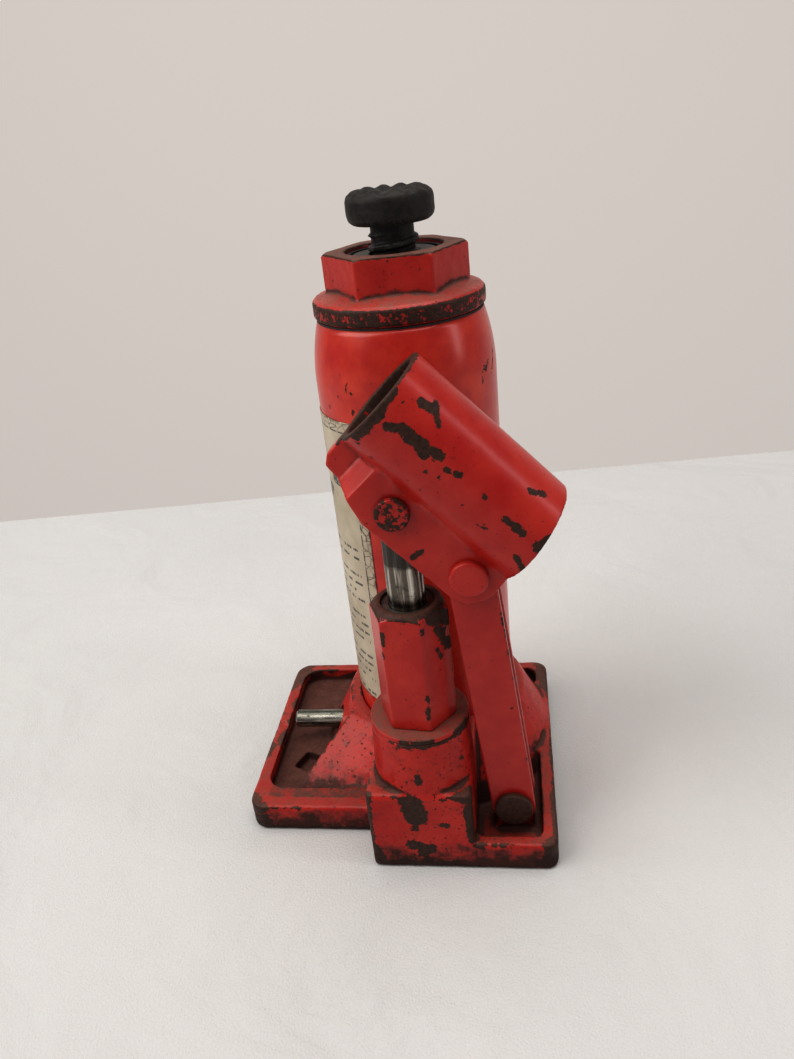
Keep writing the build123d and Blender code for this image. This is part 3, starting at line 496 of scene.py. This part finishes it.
def label_print(tree, run, height, from_right, from_top):
    """Where ink was printed: two rules along the margins, a blotted heading and rows of dashes."""
    def band(distance, middle, half_width):
        off = calc(tree, "ABSOLUTE", calc(tree, "SUBTRACT", distance, middle))
        return calc(tree, "LESS_THAN", off, half_width)

    def past(distance, limit):
        return calc(tree, "GREATER_THAN", distance, limit)

    rule_width, line_gap = 0.22 * MM, 3.1 * MM
    upright_rule = times(tree, band(from_right, margin, rule_width), past(from_top, margin))
    level_rule = times(tree, band(from_top, margin, rule_width), past(from_right, margin))
    lines = calc(tree, "DIVIDE", from_top, line_gap)
    share, row = calc(tree, "FRACT", lines), calc(tree, "FLOOR", lines)
    in_row = times(tree, past(share, 0.36), calc(tree, "LESS_THAN", share, 0.64))
    places = {"X": times(tree, run, 520), "Y": times(tree, row, 3.7)}
    dash_place = add(tree, "ShaderNodeCombineXYZ", places).outputs["Vector"]
    dashes = times(tree, in_row, past(cloud(tree, dash_place, 1.0, 1.0), 0.47))
    body = times(tree, past(from_top, 40 * MM), past(from_right, 6 * MM))
    gaps = past(calc(tree, "MODULO", row, 5.0), 0.5)
    dashes = times(tree, dashes, times(tree, body, gaps))
    flat = add(tree, "ShaderNodeCombineXYZ", {"X": run, "Y": height}).outputs["Vector"]
    heading = times(tree, band(from_top, 22 * MM, 5.5 * MM), past(from_right, 7 * MM))
    heading = times(tree, heading, past(cloud(tree, flat, 95, 0.0), 0.52))
    rules = calc(tree, "MAXIMUM", upright_rule, level_rule)
    return calc(tree, "MAXIMUM", calc(tree, "MAXIMUM", rules, dashes), heading)


def label_paper():
    """Yellowed paper with its print, crazed varnish along the margins and dirt at the edges."""
    material, tree, look, place = new_material("label paper")
    part = add(tree, "ShaderNodeSeparateXYZ", {"Vector": place}).outputs
    run = times(tree, calc(tree, "ARCTAN2", part["Y"], part["X"]), tube_r)
    from_right = calc(tree, "SUBTRACT", label_right * tube_r, run)
    from_top = calc(tree, "SUBTRACT", label_high.z, part["Z"])
    rubbed = cloud(tree, place, 700, 4.0, 0.7)
    ink = label_print(tree, run, part["Z"], from_right, from_top)
    ink = times(tree, ink, step(tree, rubbed, 0.38, 0.46))
    cracks = add(tree, "ShaderNodeTexVoronoi", {"Vector": place, "Scale": 330.0}, feature="DISTANCE_TO_EDGE")
    at_margin = calc(tree, "LESS_THAN", calc(tree, "MINIMUM", from_right, from_top), margin)
    crack = times(tree, calc(tree, "LESS_THAN", cracks.outputs["Distance"], 0.03), at_margin)
    age = cloud(tree, place, 60, 4.0, 0.6)
    paper = mixed(tree, step(tree, age, 0.3, 0.7), (0.52, 0.46, 0.36, 1), (0.38, 0.32, 0.23, 1))
    stain = times(tree, reading(tree, "edge"), step(tree, cloud(tree, place, 380, 4.0), 0.4, 0.6))
    dirty = calc(tree, "MAXIMUM", stain, times(tree, crack, 0.8))
    paper = mixed(tree, dirty, paper, (0.10, 0.07, 0.05, 1))
    printed = mixed(tree, times(tree, ink, 0.9), paper, (0.035, 0.035, 0.04, 1))
    tree.links.new(printed, look["Base Color"])
    tree.links.new(calc(tree, "MULTIPLY_ADD", age, 0.3, 0.3), look["Roughness"])
    emboss(tree, look, calc(tree, "SUBTRACT", rubbed, crack), 0.06 * MM)
    return material


def inward(share):
    """1 at the first edge of the sheet, -1 at the last and 0 between them."""
    return {0.0: 1, 1.0: -1}.get(share, 0)


columns, rows = 110, 200
dirty_rim, tear_depth = 1.2 * MM, 0.35 * MM
verts, near_edge = [], []
for radius in (tube_r + glue, tube_r + paper_face):
    for row in range(rows + 1):
        for column in range(columns + 1):
            across, up = column / columns, row / rows
            rim = min(min(across, 1 - across) * label_span * tube_r, min(up, 1 - up) * label_height)
            tear = tear_depth * noise.noise(Vector((across * 60, up * 110, 4)))
            angle = label_right - label_span * across - tear / tube_r * inward(across)
            height = label_low.z + label_height * up + abs(tear) * inward(up)
            verts.append((radius * math.cos(angle), radius * math.sin(angle), height))
            near_edge.append(max(0.0, 1 - rim / dirty_rim))
line = columns + 1
sheet_count = (rows + 1) * line
faces = []
for row in range(rows):
    for column in range(columns):
        a = row * line + column
        corners = (a, a + 1, a + 1 + line, a + line)
        faces.append(corners)
        faces.append(tuple(corner + sheet_count for corner in reversed(corners)))
rim_loop = list(range(columns)) + [row * line + columns for row in range(rows)]
rim_loop += [rows * line + columns - k for k in range(columns)] + [(rows - k) * line for k in range(rows)]
for a, b in zip(rim_loop, rim_loop[1:] + rim_loop[:1]):
    faces.append((b, a, a + sheet_count, b + sheet_count))
label_mesh = mesh_of("label", verts, faces)
keep_values(label_mesh, "edge", np.array(near_edge))
label = new_piece("pasted_label", label_mesh, "base", label_paper())
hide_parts("reservoir_label")


# ------------------------------------------------------------------ top nut
# A forged cap with a round flange and a hexagon. The flange's rim is nearly bare from handling,
# dust lies on its slope, and the paint on the hexagon's top has gone.
def close_to(values, top, reach, fade):
    """0 for values further than a reach below a top one, going over to 1 within a fade."""
    return ((values - top + reach) / fade).clip(0, 1)


nut = skin_of("top_nut", 0.4 * MM, 2)
uneven(nut, 0.12 * MM, 4 * MM, 7)
feel(nut, 26, 0.40 * MM)
nut_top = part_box("top_nut")[1]
x, y, z = points_of(nut).T
on_rim = 0.54 * close_to(np.hypot(x, y), nut_top.x, 0.75 * MM, 0.5 * MM)
on_top = 0.95 * close_to(z, nut_top.z, 0.9 * MM, 0.8 * MM)
rub(nut, bare=np.maximum(on_rim, on_top))
cap = new_piece(
    "forged_top_nut", nut, "base",
    red_enamel("nut enamel", 0.15, 0.14 * MM, edge_chipping=0.4, grime=0.9, dust=0.9, specks=0.02),
)
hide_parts("top_nut")


# ------------------------------------------------------------------ ram and extension screw
# The ram's ground top stands just under the nut. The screw in it has a rolled thread with round
# crests, black and oily, and carries the saddle on its neck.
def scratched_steel(name, dull_above, colour, stain_colour, along="Z"):
    """Steel with long fine scratches along an axis, dull above a height on it."""
    material, tree, look, place = new_material(name)
    stretch = {"X": (0.06, 1, 1), "Z": (1, 1, 0.06)}[along]
    drawn = add(tree, "ShaderNodeVectorMath", {0: place, 1: stretch}, operation="MULTIPLY").outputs[0]
    lines = cloud(tree, drawn, 2600, 3.0, 0.6)
    streaks = cloud(tree, drawn, 700, 3.0, 0.6)
    stain = cloud(tree, place, 260, 4.0, 0.6)
    part = add(tree, "ShaderNodeSeparateXYZ", {"Vector": place}).outputs
    ragged = calc(tree, "MULTIPLY_ADD", stain, 4.0 * MM, part[along])
    dull = step(tree, ragged, dull_above, dull_above + 1.2 * MM)
    dirt = calc(tree, "MAXIMUM", times(tree, dull, 0.85), step(tree, stain, 0.55, 0.75))
    metal = mixed(tree, step(tree, streaks, 0.45, 0.68), colour, (0.62, 0.58, 0.52, 1))
    tree.links.new(mixed(tree, dirt, metal, stain_colour), look["Base Color"])
    tree.links.new(calc(tree, "SUBTRACT", 1.0, times(tree, dirt, 0.55)), look["Metallic"])
    rough = calc(tree, "MULTIPLY_ADD", lines, 0.3, 0.12)
    tree.links.new(calc(tree, "MULTIPLY_ADD", dirt, 0.28, rough), look["Roughness"])
    emboss(tree, look, calc(tree, "ADD", lines, streaks), 0.03 * MM)
    return material


ram_dull = 171 * MM
dress(scratched_steel("ram steel", ram_dull, (0.42, 0.40, 0.37, 1), (0.045, 0.036, 0.029, 1)), "ram")


def ramp(value):
    """A number kept between 0 and 1."""
    return min(1.0, max(0.0, value))


screw_low, screw_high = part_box("extension_screw")
saddle_low, saddle_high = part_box("saddle")
crest_r, root_r = screw_high.x - 0.02 * MM, screw_high.x - 1.12 * MM
crest_share, flank_slope = 1.6, 5.27
pitch, turns, fine = 4.0 * MM, 96, 0.25 * MM
thread_from, thread_to = screw_low.z + 5.5 * MM, saddle_low.z - 2.2 * MM
row_count = round((saddle_low.z - screw_low.z) / fine)
verts = []
for row in range(row_count + 1):
    height = screw_low.z + row * fine
    fade = ramp((height - thread_from) / MM) * ramp((thread_to - height) / MM)
    for k in range(turns):
        angle = 2 * math.pi * k / turns
        off_crest = abs((height / pitch - k / turns) % 1.0 - 0.5)
        flank = ramp(crest_share - flank_slope * off_crest)
        rounded = flank * flank * (3 - 2 * flank)
        radius = root_r + (crest_r - root_r) * rounded * fade
        verts.append((radius * math.cos(angle), radius * math.sin(angle), height))
faces = round_faces(row_count + 1, turns)
faces.append(tuple(range(turns))[::-1])
faces.append(tuple(row_count * turns + k for k in range(turns)))
screw_mesh = mesh_of("screw", verts, faces)
feel(screw_mesh, 12, 0.25 * MM)


def black_forging(name, dust, relief):
    """Black oxide on a forging, grey where it is rubbed, with dull dust on what looks up."""
    material, tree, look, place = new_material(name)
    mottle = cloud(tree, place, 420, 5.0, 0.65)
    grain = cloud(tree, place, 1700, 3.0, 0.7)
    colour = mixed(tree, step(tree, mottle, 0.35, 0.7), (0.008, 0.006, 0.006, 1), (0.024, 0.018, 0.016, 1))
    rubbed = times(tree, reading(tree, "edge"), step(tree, mottle, 0.4, 0.6))
    colour = mixed(tree, rubbed, colour, (0.10, 0.105, 0.105, 1))
    settled = times(tree, times(tree, reading(tree, "up"), dust), step(tree, grain, 0.4, 0.7))
    tree.links.new(mixed(tree, settled, colour, (0.16, 0.145, 0.13, 1)), look["Base Color"])
    tree.links.new(calc(tree, "MULTIPLY_ADD", mottle, 0.35, 0.35), look["Roughness"])
    tree.links.new(times(tree, rubbed, 0.6), look["Metallic"])
    look["Specular IOR Level"].default_value = 0.3
    emboss(tree, look, calc(tree, "MULTIPLY_ADD", grain, 0.4, mottle), relief)
    return material


screw_black = black_forging("screw black", 0.3, 0.08 * MM)
screw = new_piece("rolled_screw", screw_mesh, "extension_screw", screw_black)
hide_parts("extension_screw")


# ------------------------------------------------------------------ saddle
# A forged round pad with a thick rounded rim. Its top has a ring of lumps that grip the load,
# round a shallow hollow.
saddle_r = saddle_high.x
saddle_h = saddle_high.z - saddle_low.z
profile = [
    (0.0, saddle_h - 1.6 * MM), (3.6 * MM, saddle_h - 1.5 * MM), (4.8 * MM, saddle_h - 0.9 * MM),
    (6.6 * MM, saddle_h - 0.15 * MM), (8.8 * MM, saddle_h), (10.6 * MM, saddle_h - 0.5 * MM),
    (11.9 * MM, saddle_h - 1.6 * MM), (saddle_r, saddle_h - 3.0 * MM), (saddle_r, 2.6 * MM),
    (saddle_r - 0.4 * MM, 1.2 * MM), (saddle_r - 1.6 * MM, 0.2 * MM), (saddle_r - 3.2 * MM, 0.0), (0.0, 0.0),
]
saddle_mesh = lathe([(r, saddle_low.z + z) for r, z in profile], 220, 0.35 * MM)
lump_count, lump_depth, lump_ring, lump_spread = 10, 0.9 * MM, 8.6 * MM, 3.0 * MM
places = around(saddle_mesh, points_of(saddle_mesh), 6)
x, y, z = places.T
angles = np.arctan2(y, x)
on_ring = np.exp(-(((np.hypot(x, y) - lump_ring) / lump_spread) ** 2))
on_top = ((z - saddle_low.z - 6.4 * MM) / (2.0 * MM)).clip(0, 1)
wave = 0.5 - 0.5 * np.cos(angles * lump_count + 0.5 * np.sin(3 * angles + 1))
places[:, 2] -= lump_depth * on_ring * on_top * wave**1.3
sunk = 0.5 + 0.5 * patches(places, 3.0 * MM)
places[:, 2] -= 0.45 * MM * on_top * sunk
places[:, :2] *= (1 - 0.15 * MM * sunk / saddle_r)[:, None]
move_points(saddle_mesh, places)
feel(saddle_mesh, 30, 0.5 * MM)
saddle_black = black_forging("saddle black", 0.45, 0.12 * MM)
saddle = new_piece("forged_saddle", saddle_mesh, "extension_screw", saddle_black)
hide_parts("saddle")


# ------------------------------------------------------------------ pump body and washer
# The pump's hexagonal body is screwed down on a thick washer. Its top is black with oil and dust,
# and its corners are chipped by the spanner.
pump = skin_of("pump_body", 0.4 * MM, 2)
uneven(pump, 0.06 * MM, 4 * MM, 9)
feel(pump, 26, 0.35 * MM)
pump_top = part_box("pump_body")[1].z
pump_marks = [
    ((7.5, -52, 86), (11, -47, 83), 2.6), ((8, -50.5, 82), (9.5, -49, 79), 1.6),
    ((9, -50, 79), (10.5, -47.5, 74), 1.5), ((7.8, -51.2, 75), (9, -50, 72), 0.7),
    ((5.2, -55, 83.6), (5.3, -55, 82.6), 0.6), ((4.5, -55.8, 61.5), (4.4, -55.8, 60), 0.5),
    ((4.3, -55.8, 57.5), (4.2, -55.8, 54), 0.55), ((-6.4, -54.4, 82), (-6.6, -54.4, 79), 0.7),
    ((-7.1, -54.3, 76), (-7.1, -54.3, 74), 0.4), ((10, -45, 60), (11, -40, 64), 1.0),
    ((0, -33, 85), (4, -34, 80), 1.4), ((-9, -38, 60), (-9, -38, 66), 0.8),
]
rub(pump, pump_marks, bare=0.75 * close_to(points_of(pump)[:, 2], pump_top, 2.6 * MM, 2.0 * MM))
pump_piece = new_piece(
    "hexagon_pump_body", pump, "base",
    red_enamel("pump enamel", 0.25, 0.12 * MM, chipping=-0.03, edge_chipping=0.3, grime=0.7, dust=0.5,
               specks=0.015),
)
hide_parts("pump_body")

washer = skin_of("pump_washer", 0.3 * MM, 2)
uneven(washer, 0.08 * MM, 3 * MM, 11)
feel(washer, 14, 0.3 * MM)
rub(washer, [((12, -57, 48), (14, -50, 48), 1.2), ((-5, -59.5, 48.5), (5, -59.5, 48.5), 0.3)])
washer_piece = new_piece(
    "thick_washer", washer, "base",
    red_enamel("washer enamel", 0.1, 0.14 * MM, chipping=0.04, edge_chipping=0.5, grime=0.9, dust=1.0),
)
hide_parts("pump_washer")


# ------------------------------------------------------------------ plunger
# A ground steel plunger. Its upper end is dull and stained, and the part that slides in the pump
# is polished, with scratches along it.
plunger_dull = 101.5 * MM
dress(
    scratched_steel("plunger steel", plunger_dull, (0.15, 0.13, 0.11, 1), (0.035, 0.028, 0.023, 1)),
    "pump_plunger",
)


# ------------------------------------------------------------------ handle socket
# One blank of 2.5 mm steel, rolled into a tube for the handle and folded down into two ears.
# Its enamel has long ragged chips where the handle and the ground knock it, and its cut edge at
# the open end is bare.
socket = skin_of("handle_socket", 0.4 * MM, 3)
uneven(socket, 0.05 * MM, 6 * MM, 13)
feel(socket, 20, 0.32 * MM)
tilt = math.radians(46.8)
pin_z, middle_y = 118.6, -45
tube_outer, axis_up, ear_half = 14.3, 18.4, 8.3


def on_socket(start, end, radius):
    """A chip on the front of the socket between places given along its tube and up from its pins."""
    ends = []
    for along, up in (start, end):
        out = math.sqrt(max(tube_outer**2 - (up - axis_up) ** 2, ear_half**2))
        ends.append((along * math.cos(tilt) + up * math.sin(tilt), middle_y - out,
                     pin_z - along * math.sin(tilt) + up * math.cos(tilt)))
    return (*ends, radius)


socket_marks = [
    on_socket((-21.5, 26), (-20.5, 21), 1.1), on_socket((-20.5, 21), (-20.3, 16), 1.5),
    on_socket((-20, 15), (-20.5, 11), 1.2), on_socket((-17, 19), (-14, 21), 1.2),
    on_socket((-14, 21), (-11, 21), 1.5), on_socket((-11, 20.5), (-8, 21.2), 1.7),
    on_socket((-8, 20.5), (-6, 20), 1.6), on_socket((-4.5, 21.7), (-3, 21.7), 1.4),
    on_socket((-14.2, 28), (-12, 28.2), 1.3), on_socket((-11.4, 29.5), (-10, 28), 0.9),
    on_socket((-10, 28), (-7.6, 26.5), 0.8), on_socket((-18, 25.4), (-18, 25.4), 0.5),
    on_socket((0.6, 20.5), (1.2, 20.7), 0.6), on_socket((2.8, 21.3), (4, 21.6), 0.8),
    on_socket((12.1, 21.6), (12.1, 21.6), 0.6), on_socket((16, 14.8), (18.5, 15.6), 0.35),
    on_socket((20, 20.8), (22.5, 21), 0.9), on_socket((22.5, 21), (25.5, 20.8), 1.1),
    on_socket((20.2, 28.9), (23.5, 30.2), 0.9), on_socket((15, 32), (20.5, 32.1), 0.6),
    on_socket((28.5, 15.2), (32.5, 13.6), 0.7), on_socket((31, 21), (32, 23.5), 1.5),
    on_socket((12.3, -5.6), (12.8, -3), 0.9), on_socket((-14.2, 9.3), (-14, 9), 0.5),
    on_socket((-19, 9.7), (-19, 9.7), 0.4), on_socket((-18.2, -3.6), (-16.8, -3.6), 0.9),
    on_socket((0, 23.1), (0.4, 23.1), 0.35), on_socket((0.4, 17.9), (0.6, 17.6), 0.35),
    on_socket((-8.3, 15.8), (-8.3, 15.8), 0.3), on_socket((-2.8, 16.8), (-2.8, 16.8), 0.3),
]
x, y, z = points_of(socket).T / MM
along = x * math.cos(tilt) - (z - pin_z) * math.sin(tilt)
up = x * math.sin(tilt) + (z - pin_z) * math.cos(tilt)
open_end, bore_face = -21.8, 12.6
bare_rim = 0.85 * (1 - (along - open_end) / 1.1).clip(0, 1) * (up > 2)
oily_bore = 0.72 * ((bore_face - np.hypot(y - middle_y, up - axis_up)) / 0.5).clip(0, 1)
rub(socket, socket_marks, 2.2, np.maximum(bare_rim, oily_bore))
socket_piece = new_piece(
    "folded_socket", socket, "handle_socket",
    red_enamel("socket enamel", 0.3, 0.12 * MM, chipping=-0.02, edge_chipping=0.4, grime=0.45, dust=0.15,
               specks=0.01),
)
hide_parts("handle_socket")


# ------------------------------------------------------------------ links
# Two flat steel links, one each side of the plunger, punched and painted before assembly.
# Their long edges are chipped where a hand or a spanner gets past them.
link_marks = [
    ((26.4, -51, 85), (27.4, -51, 80), 0.7), ((27.5, -51, 80), (28.4, -51, 72), 0.8),
    ((28.4, -51, 72), (29, -51, 63), 0.6), ((27.5, -51, 53), (28.2, -51, 54), 0.35),
    ((31, -51, 47), (31, -51, 46), 0.6), ((32, -51, 34), (32.4, -51, 32), 0.8),
]
for node, seed in (("front_link", 17), ("rear_link", 19)):
    plate = skin_of(node, 0.35 * MM, 2)
    uneven(plate, 0.05 * MM, 5 * MM, seed)
    feel(plate, 16, 0.3 * MM)
    rub(plate, link_marks)
    piece = new_piece(
        "punched_" + node, plate, "links",
        red_enamel(node + " enamel", 0.4, 0.10 * MM, chipping=-0.04, edge_chipping=0.25, grime=0.4, dust=0.2),
    )
    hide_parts(node)


# ------------------------------------------------------------------ pins
# Three pins with flat round heads. The heads are knocked on every stroke: the plunger pin's has
# lost half of its paint, the link pin's a little and the foot pin's nearly all.
pins = [
    ("plunger_pin", "handle_socket", 0.50), ("link_pin", "handle_socket", 0.12), ("foot_pin", "links", 0.78),
]
for node, body, lost in pins:
    head = skin_of(node, 0.25 * MM, 3)
    uneven(head, 0.05 * MM, 3 * MM, 23)
    feel(head, 16, 0.3 * MM)
    rub(head)
    piece = new_piece(
        "knocked_" + node, head, body,
        red_enamel(node + " enamel", 0.3, 0.12 * MM, chipping=lost, edge_chipping=0.15, grime=0.2, dust=0.1),
    )
    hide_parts(node)


# ------------------------------------------------------------------ release valve spindle
# A plain steel stem with a chamfered end, greenish grey with age, that the notched end of the
# pump handle turns. It is as bright at one end as at the other.
past_its_end = 1.0
dress(
    scratched_steel("spindle steel", past_its_end, (0.17, 0.17, 0.145, 1), (0.06, 0.058, 0.045, 1), "X"),
    "release_spindle",
)


# ------------------------------------------------------------------ floor, wall, light and camera
# A pale cloth-covered table in front of a plain pale wall. A large soft lamp stands to the left
# like a window, another hangs overhead, and a weak one lights the right side.
def table_cloth():
    """White cotton with a fine weave and soft folds."""
    material, tree, look, place = new_material("pale cloth")
    tone = cloud(tree, place, 9, 3.0)
    tree.links.new(mixed(tree, tone, (0.50, 0.50, 0.498, 1), (0.55, 0.55, 0.548, 1)), look["Base Color"])
    look["Roughness"].default_value = 0.9
    weave = cloud(tree, place, 1400, 2.0)
    creases = {"Vector": place, "Scale": 14.0, "Detail": 3.0, "Distortion": 1.2}
    folds = add(tree, "ShaderNodeTexNoise", creases).outputs["Fac"]
    emboss(tree, look, calc(tree, "MULTIPLY_ADD", folds, 14.0, weave), 0.4 * MM, 0.6)
    return material


table_corners = [(-1.6, -1.8, 0), (1.6, -1.8, 0), (1.6, 0.413, 0), (-1.6, 0.065, 0)]
table = put("table", mesh_of("table", table_corners, [(0, 1, 2, 3)]))
table.data.materials.append(table_cloth())

wall_corners = [(-3, 1.6, -2), (3, 1.6, -2), (3, 1.6, 1.6), (-3, 1.6, 1.6)]
wall = put("wall", mesh_of("wall", wall_corners, [(0, 1, 2, 3)]))
plaster = bpy.data.materials.new("plaster")
plaster.use_nodes = True
plaster_look = plaster.node_tree.nodes["Principled BSDF"].inputs
plaster_look["Base Color"].default_value = (0.3, 0.28, 0.27, 1)
plaster_look["Roughness"].default_value = 0.95
plaster_look["Emission Color"].default_value = (0.55, 0.515, 0.49, 1)
plaster_look["Emission Strength"].default_value = 0.76
wall.data.materials.append(plaster)

room = bpy.data.worlds.new("room")
bpy.context.scene.world = room
room.use_nodes = True
room.node_tree.nodes["Background"].inputs["Color"].default_value = (0.30, 0.285, 0.275, 1)
room.node_tree.nodes["Background"].inputs["Strength"].default_value = 1.0


def aim_at(holder, target):
    """Turns a lamp or a camera to look at a place, level with the ground."""
    return (Vector(target) - holder.location).to_track_quat("-Z", "Y")


def lamp(name, place, target, size, power, colour):
    """A soft rectangular lamp of a size in metres and a power in watts."""
    light = bpy.data.lights.new(name, "AREA")
    light.shape = "RECTANGLE"
    light.size, light.size_y = size
    light.energy = power
    light.color = colour
    holder = put(name, light)
    holder.location = place
    holder.rotation_euler = aim_at(holder, target).to_euler()


lamp("window", (-1.1, -0.5, 1.1), (0, 0, 0.1), (1.3, 1.3), 17.5, (1.0, 0.98, 0.95))
lamp("ceiling", (0.1, 0.0, 1.2), (0, 0, 0.05), (0.9, 0.9), 9.0, (1.0, 0.97, 0.93))
lamp("right", (0.7, -0.15, 0.4), (0, 0, 0.1), (0.12, 0.6), 0.9, (1.0, 0.95, 0.97))

camera_data = bpy.data.cameras.new("camera")
camera_data.lens = 28.18
camera_data.sensor_width = 36
camera = put("camera", camera_data)
camera.location = (0.03258, -0.24157, 0.20864)
camera.rotation_mode = "QUATERNION"
roll = Quaternion((0, 0, 1), math.radians(-6.506))
camera.rotation_quaternion = aim_at(camera, (-0.00821, 0.0, 0.08706)) @ roll
bpy.context.scene.camera = camera
bpy.context.scene.view_settings.view_transform = "Standard"
bpy.context.scene.view_settings.exposure = 0.25
bpy.context.scene.view_settings.gamma = 0.78
